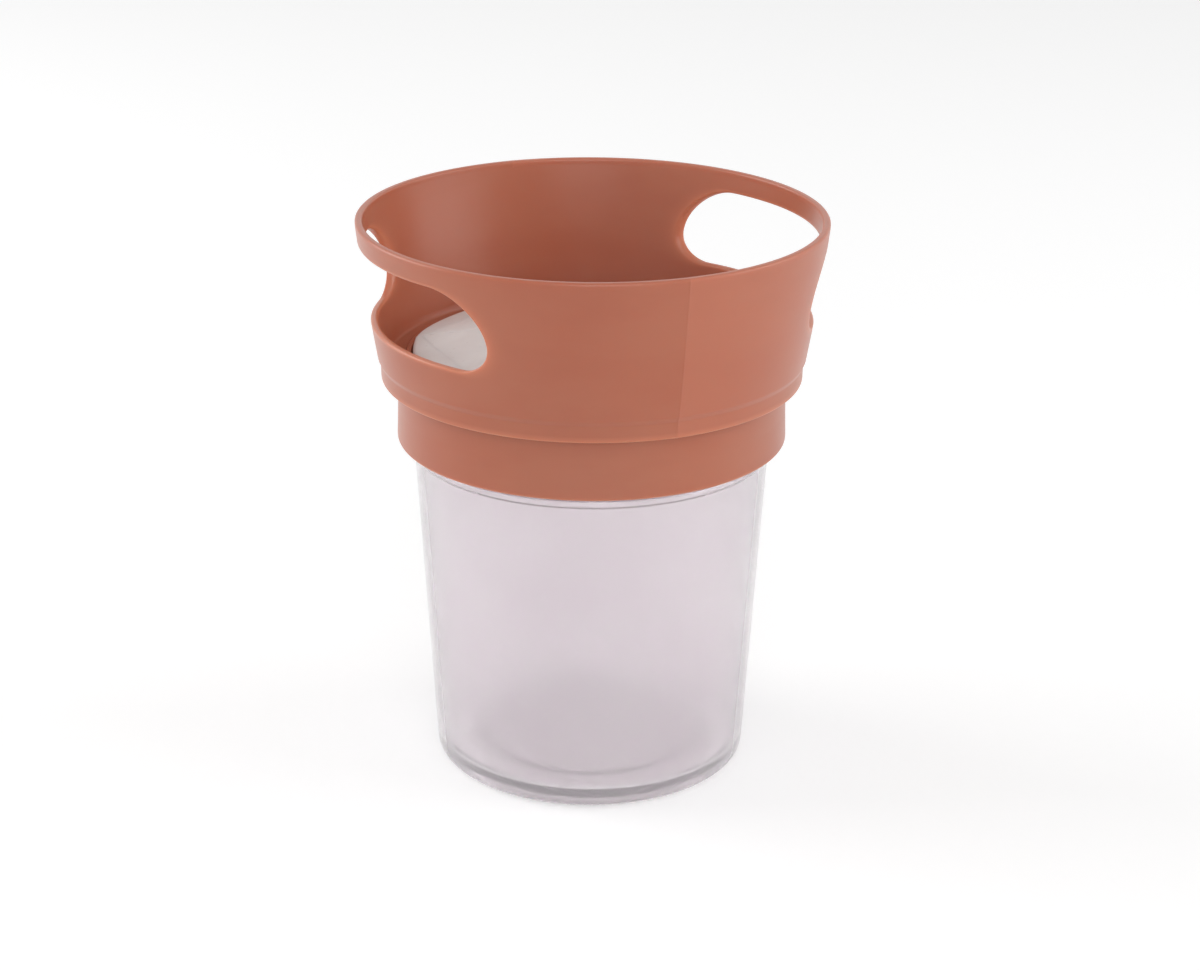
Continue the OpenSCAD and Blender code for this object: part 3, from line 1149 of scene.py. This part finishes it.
    def shell(self) -> bpy.types.Object:
        """Joins both halves of the bowl.

        Returns:
            The bowl as one closed piece.
        """
        work = Patchwork()
        lip = self.lip()
        outer = self.skin(self.outer_r)
        inner = self.skin(lambda z: self.outer_r(z) - self.wall)
        # Painted glow beside the lips, fading over the first rows of both skins.
        fade = np.zeros(outer.shape[:2])
        fade[:len(self.glow_beside_lip)] = np.array(self.glow_beside_lip)[:, None]
        skirt, rim = self.skirt(), self.rim()
        low_z = STACK.bowl_z - self.skirt_drop
        # Painted glow along the skirt's thin bottom edge, and along the rim.
        skirt_glow = smooth((low_z + 0.7 - skirt[:, 1:]) / 0.5)
        rim_glow_mask = self.painted_rim_glow * smooth((rim[:, 1:] - (STACK.bowl_z + self.height - 1.0)) / 0.8)
        notch = self.notched(self.turned_half(skirt))
        # Each strip gets its painted edge glow and the painted lighter side right of the parting line.
        for side in (1.0, -1.0):
            flip = np.array([side, side, 1.0])
            work.add(self.raised(outer) * flip, fade, wrap=True, half=self.painted_lit_side(outer * flip))
            work.add(inner * flip, fade, wrap=True)
            lip_grid = np.concatenate([self.raised(outer[:1]), lip[1:]]) * flip
            work.add(lip_grid, self.painted_lip_glow, wrap=True)
            work.add(self.seamed(notch, skirt) * flip, skirt_glow, half=self.painted_lit_side(notch * flip))
            top = self.turned_half(rim)
            work.add(self.seamed(top, rim) * flip, rim_glow_mask, half=self.painted_lit_side(top * flip))
        return work.build("handle_bowl_shell")

    def seamed(self, grid: np.ndarray, path: np.ndarray) -> np.ndarray:
        """Raises the parting line on the part of a turned strip that faces outwards.

        Args:
            grid: the strip's points.
            path: the half section that it was turned from.

        Returns:
            The new points.
        """
        outward = path[:, 0] > self.outer_r(path[:, 1]) - self.wall / 2
        skirt = (path[:, 1] < STACK.bowl_z) & (path[:, 0] > self.foot_r - self.wall)
        return np.where((outward | skirt)[:, None, None], self.raised(grid), grid)

    def notched(self, grid: np.ndarray) -> np.ndarray:
        """Cuts the notches for the collar's drive lugs into the floor ring's inner edge.

        Args:
            grid: the strip's points.

        Returns:
            The new points.
        """
        at_edge = np.hypot(grid[..., 0], grid[..., 1]) < self.hole_r + self.notch_zone
        across = smooth((self.notch_half_w - np.abs(grid[..., 0])) / self.notch_soft)
        return pushed_out(grid, across * at_edge * self.notch_d)


@dataclass
class Guard:
    """The soft guard: a ring with a six-sided mouth, and the leaves that close it."""

    flaps: int = 6
    slit_deg: float = 32.0
    edge_r: float = 41.4
    inner_r: float = 39.5
    flange_r: float = 42.8
    flange_t: float = 1.0
    height: float = 6.8
    leaf_t: float = 1.2
    plate_t: float = 1.8
    tip_h: float = 12.4
    tip_r: float = 2.5
    root_h: float = 8.0
    slit: float = 0.22
    crown: float = 0.35
    overlap: float = 1.6
    root_lift: float = 0.03
    root_sink: float = 0.25
    edge_round: float = 0.28
    tip_half_w: float = 0.5
    shoulder: float = 0.9
    shoulder_drop: float = 0.13
    side_drop: float = 1.6
    bend_from: float = 0.1
    bend_to: float = 3.4
    columns: int = 360
    leaf_rows: int = 48

    def reach(self) -> float:
        """Distance from the axis to the middle of each side of the mouth."""
        return self.inner_r * math.cos(math.pi / self.flaps)

    def fall(self) -> float:
        """How much the dome falls for each millimetre away from the axis."""
        return (self.tip_h - self.root_h) / (self.reach() - self.tip_r)

    def dome(self, p: np.ndarray) -> np.ndarray:
        """Level of the dome at points along a leaf's own axis: a plane with a slight crown.

        Args:
            p: distances from the container's axis.

        Returns:
            The levels.
        """
        share = p / self.reach()
        plane = STACK.flange_z + self.tip_h - self.fall() * (p - self.tip_r)
        return plane + self.crown * 4 * share * (1 - share)

    def axis(self, index: int) -> float:
        """Direction of a leaf's own axis, in radians; the first leaf is number 1."""
        return math.radians(self.slit_deg) + math.pi / self.flaps * (2 * index - 1)

    def angles(self) -> np.ndarray:
        """Angles round the ring, so that each corner of the mouth has a column of its own."""
        return math.radians(self.slit_deg) + full_turn(self.columns)[0]

    def ring(self) -> bpy.types.Object:
        """The ring with its flange.

        Each row is a closed curve round the axis whose radius is mixed from
        the mouth's straight sides and a circle, so that the top plate runs
        from one to the other.

        Returns:
            The ring as one closed piece.
        """
        theta = self.angles()
        half = math.pi / self.flaps
        off = np.mod(theta - math.radians(self.slit_deg), 2 * half) - half
        side_r = self.reach() / np.cos(off)
        edge_z = STACK.flange_z + self.height
        out, q = self.edge_r, self.shoulder
        fz = STACK.flange_z
        rows: list[tuple[np.ndarray, np.ndarray]] = []
        for t in np.linspace(0, 1, 12):
            r = side_r + (out - q - side_r) * t
            rows.append((r, self.dome(r * np.cos(off))))
        shoulder_z = self.dome((out - q) * np.cos(off))
        for a in np.radians(np.linspace(15, 90, 6)):
            drop = q * (1 - math.cos(a)) + self.shoulder_drop * math.sin(a)
            rows.append((np.full_like(theta, out - q + q * math.sin(a)), shoulder_z - drop))
        side = resampled(rounded([
            (out, edge_z - self.side_drop, 0), (out, fz + self.flange_t, 0.3),
            (self.flange_r, fz + self.flange_t, 0.3),
            (self.flange_r, fz, 0.3), (self.inner_r, fz, 0.3), (self.inner_r, edge_z - self.plate_t, 0),
        ]), 0.8)
        rows += [(np.full_like(theta, r), np.full_like(theta, z)) for r, z in side]
        mouth_z = self.dome(side_r * np.cos(off))
        rows += [(side_r, mouth_z - self.plate_t), (side_r, mouth_z)]
        grid = np.stack([turned(r, z, theta) for r, z in rows])
        work = Patchwork()
        work.add(grid, wrap=True)
        return work.build("guard_ring_shell")

    def leaf(self, index: int) -> bpy.types.Object:
        """One leaf: rounded bars across the wedge, carried from its root to its tip.

        Args:
            index: the leaf's number, from 1.

        Returns:
            The leaf as one closed piece.
        """
        half = math.pi / self.flaps
        along = np.linspace(0, 1, self.leaf_rows)
        root = self.reach() + self.overlap
        p = root + (self.tip_r - root) * along
        sunk = smooth((p - self.reach() - 0.4 * self.overlap) / (0.6 * self.overlap))
        lift = self.root_lift - self.root_sink * sunk
        width = p * math.tan(half) - self.slit / 2 / math.cos(half)
        width = np.maximum(width, self.tip_half_w)
        q, t = self.edge_round, self.leaf_t
        turn = np.radians(np.linspace(0, 90, 5))
        top = np.linspace(-1, 1, 25)
        rows = []
        for pk, wk, up in zip(p, width, lift):
            inner = wk - q
            y = np.concatenate([top * inner, inner + q * np.sin(turn[1:]),
                                inner + q * np.cos(turn), -top[1:] * inner,
                                -inner - q * np.sin(turn[1:]), -inner - q * np.cos(turn[:-1])])
            z = np.concatenate([0 * top, -q + q * np.cos(turn[1:]),
                                -t + q - q * np.sin(turn), 0 * top[1:] - t,
                                -t + q - q * np.cos(turn[1:]), -q + q * np.sin(turn[:-1])])
            rows.append(np.stack([np.full_like(y, pk), y, self.dome(np.full_like(y, pk)) + z + up], -1))
        body = np.stack(rows)
        ends = [np.broadcast_to(row.mean(axis=0), row.shape)[None] for row in (body[0], body[-1])]
        body = np.concatenate([ends[0], body, ends[1]])
        x, y, z = np.moveaxis(body, -1, 0)
        c, s = math.cos(self.axis(index)), math.sin(self.axis(index))
        grid = np.stack([x * c - y * s, x * s + y * c, z], axis=-1)
        work = Patchwork()
        work.add(grid, wrap=True)
        return work.build(f"flap_{index}_leaf")

    def build(self, finishes: Finishes) -> list[bpy.types.Object]:
        """Builds and dresses the ring and its leaves.

        Args:
            finishes: each slot's material.

        Returns:
            The ring and then the leaves.
        """
        ring = self.ring()
        dress(ring, finishes, Slot.GUARD, "guard_ring")
        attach(ring, Body.GUARD.value)
        pieces = [ring]
        for index in range(1, self.flaps + 1):
            leaf = self.leaf(index)
            dress(leaf, finishes, Slot.GUARD, f"flap_{index}")
            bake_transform(leaf)
            pieces.append(leaf)
        return pieces


@dataclass
class Seal(Moulding):
    """The flat seal ring between the guard and the lip of the jar."""

    node = "seal_ring"
    slot = Slot.SEAL
    body = Body.GUARD

    out_r: float = 40.6
    in_r: float = 38.2
    edge_round: float = 0.35
    columns: int = 240

    def shell(self) -> bpy.types.Object:
        """Turns a rounded bar round the axis.

        Returns:
            The seal as one closed piece.
        """
        z0, z1, q = STACK.lip_z, STACK.flange_z, self.edge_round
        corners = [(self.in_r, z0, q), (self.out_r, z0, q), (self.out_r, z1, q), (self.in_r, z1, q)]
        bar = rounded(corners, closed=True)
        bar = np.vstack([bar, bar[:1]])
        work = Patchwork()
        work.add(turned(bar[:, :1], bar[:, 1:], full_turn(self.columns)), wrap=True)
        return work.build("seal_ring_shell")


def seen_directly(tree: bpy.types.NodeTree) -> bpy.types.NodeSocket:
    """A mask that is 1 for camera, glossy and transmission rays.

    Args:
        tree: the node tree that gets the mask.

    Returns:
        The mask's socket.
    """
    path = tree.nodes.new("ShaderNodeLightPath")
    share = path.outputs["Is Camera Ray"]
    for key in ("Is Glossy Ray", "Is Transmission Ray"):
        most = tree.nodes.new("ShaderNodeMath")
        most.operation = "MAXIMUM"
        tree.links.new(share, most.inputs[0])
        tree.links.new(path.outputs[key], most.inputs[1])
        share = most.outputs[0]
    return share


def stood(name: str, data: bpy.types.ID, axes: Sequence[np.ndarray], place: np.ndarray) -> bpy.types.Object:
    """Adds an object that stands at a place, in metres.

    Args:
        name: the object's name.
        data: its camera or lamp data.
        axes: its own right, top and back directions.
        place: where it stands.

    Returns:
        The new object.
    """
    thing = bpy.data.objects.new(name, data)
    bpy.context.scene.collection.objects.link(thing)
    matrix = np.eye(4)
    matrix[:3] = np.column_stack([*axes, place])
    thing.matrix_world = Matrix(matrix.tolist())
    return thing


@dataclass(frozen=True)
class Lamp:
    """A square soft lamp: its place is right, towards the camera and up from the container, in metres."""

    name: str
    place: Point
    size: float
    power: float


@dataclass
class Studio:
    """Camera, floor and soft light, all placed from the photograph's solved view."""

    distance: float = 594.0
    elevation_deg: float = 15.34
    azimuth_deg: float = -22.3
    pitch_deg: float = 21.272
    yaw_deg: float = 0.207
    roll_deg: float = 0.419
    focal_px: float = 2599.6
    frame_px: float = 1200.0
    sensor_mm: float = 36.0
    aim_h: float = 0.07
    world_level: float = 0.5
    floor_level: float = 0.8
    floor_glow: float = 0.35
    floor_t: float = 5.0
    floor_rings: tuple[float, ...] = (0.0, 60.0, 150.0, 400.0, 1500.0, 4000.0)
    floor_columns: int = 96
    lamps: tuple[Lamp, ...] = (
        Lamp("left", (-1.15, -0.25, 0.45), 0.9, 8.0),
        Lamp("right", (1.15, 0.1, 0.4), 0.9, 5.5),
        Lamp("front", (0.1, 1.5, 0.6), 1.0, 8.0),
    )

    def basis(self) -> tuple[np.ndarray, np.ndarray, np.ndarray]:
        """The view's level right, level away and up directions in the CAD frame."""
        c, s = math.cos(math.radians(self.azimuth_deg)), math.sin(math.radians(self.azimuth_deg))
        return np.array([c, s, 0.0]), np.array([-s, c, 0.0]), np.array([0.0, 0.0, 1.0])

    def camera(self) -> None:
        """Makes the camera and turns it to the photograph's view."""
        side, away, up = self.basis()
        angles = (self.elevation_deg, self.pitch_deg, self.yaw_deg, self.roll_deg)
        el, pitch, yaw, roll = (math.radians(v) for v in angles)
        height = STACK.bowl_z + Bowl.height + self.distance * math.sin(el)
        place = (-away * self.distance * math.cos(el) + up * height) * MM
        ahead = math.cos(pitch) * (math.sin(yaw) * side + math.cos(yaw) * away) - math.sin(pitch) * up
        right = np.cross(ahead, up)
        right /= np.linalg.norm(right)
        top = np.cross(right, ahead)
        turned_right = math.cos(roll) * right + math.sin(roll) * top
        turned_top = -math.sin(roll) * right + math.cos(roll) * top
        data = bpy.data.cameras.new("camera")
        data.sensor_width = self.sensor_mm
        data.lens = self.focal_px / self.frame_px * self.sensor_mm
        data.clip_start, data.clip_end = 0.01, 20.0
        bpy.context.scene.camera = stood("camera", data, (turned_right, turned_top, -ahead), place)

    def light(self, lamp: Lamp) -> None:
        """Adds a lamp that faces the middle of the container.

        Args:
            lamp: its place, size and power.
        """
        side, away, up = self.basis()
        at = side * lamp.place[0] - away * lamp.place[1] + up * lamp.place[2]
        data = bpy.data.lights.new(lamp.name, "AREA")
        data.shape, data.size, data.energy = "SQUARE", lamp.size, lamp.power
        back = at - up * self.aim_h
        back /= np.linalg.norm(back)
        right = np.cross(up, back)
        right /= np.linalg.norm(right)
        stood(lamp.name, data, (right, np.cross(back, right), back), at)

    def floor(self) -> None:
        """Lays a plain pale disc under the container, which keeps its shadow."""
        radius = np.array(self.floor_rings)[:, None]
        grid = turned(radius, np.zeros_like(radius), full_turn(self.floor_columns))
        work = Patchwork()
        work.add(np.concatenate([grid, grid[::-1] - np.array([0.0, 0.0, self.floor_t])]), wrap=True)
        floor = work.build("floor")
        s = Shader("pale_floor")
        s.set(Base_Color=(*[self.floor_level] * 3, 1.0), Roughness=0.9, Emission_Color=WHITE)
        s.drive("Emission Strength", s.times(seen_directly(s.tree), self.floor_glow))
        floor.data.materials.append(s.material)

    def world(self) -> None:
        """Even light all round, with a white background for camera, glossy and clear rays."""
        world = bpy.data.worlds.new("studio")
        bpy.context.scene.world = world
        world.use_nodes = True
        tree = world.node_tree
        tree.nodes.clear()
        output = tree.nodes.new("ShaderNodeOutputWorld")
        mix = tree.nodes.new("ShaderNodeMixShader")
        tree.links.new(seen_directly(tree), mix.inputs[0])
        for socket, level in ((mix.inputs[1], self.world_level), (mix.inputs[2], 1.0)):
            shade = tree.nodes.new("ShaderNodeBackground")
            shade.inputs["Color"].default_value = WHITE
            shade.inputs["Strength"].default_value = level
            tree.links.new(shade.outputs[0], socket)
        tree.links.new(mix.outputs[0], output.inputs["Surface"])

    def build(self) -> None:
        """Sets up the camera, the light, the floor and the view transform."""
        self.camera()
        self.world()
        for lamp in self.lamps:
            self.light(lamp)
        self.floor()
        bpy.context.scene.view_settings.view_transform = "Standard"


def main() -> None:
    """Builds the container's sub-assemblies in order and reports each piece."""
    logging.basicConfig(level=logging.INFO, format="%(message)s")
    Studio().build()
    finishes = make_finishes()
    for part in (Jar(), Seal(), Guard(), Collar(), Bowl()):
        for piece in part.build(finishes):
            log.info("%s: %d faces", piece.name, len(piece.data.polygons))


if __name__ == "__main__":
    main()
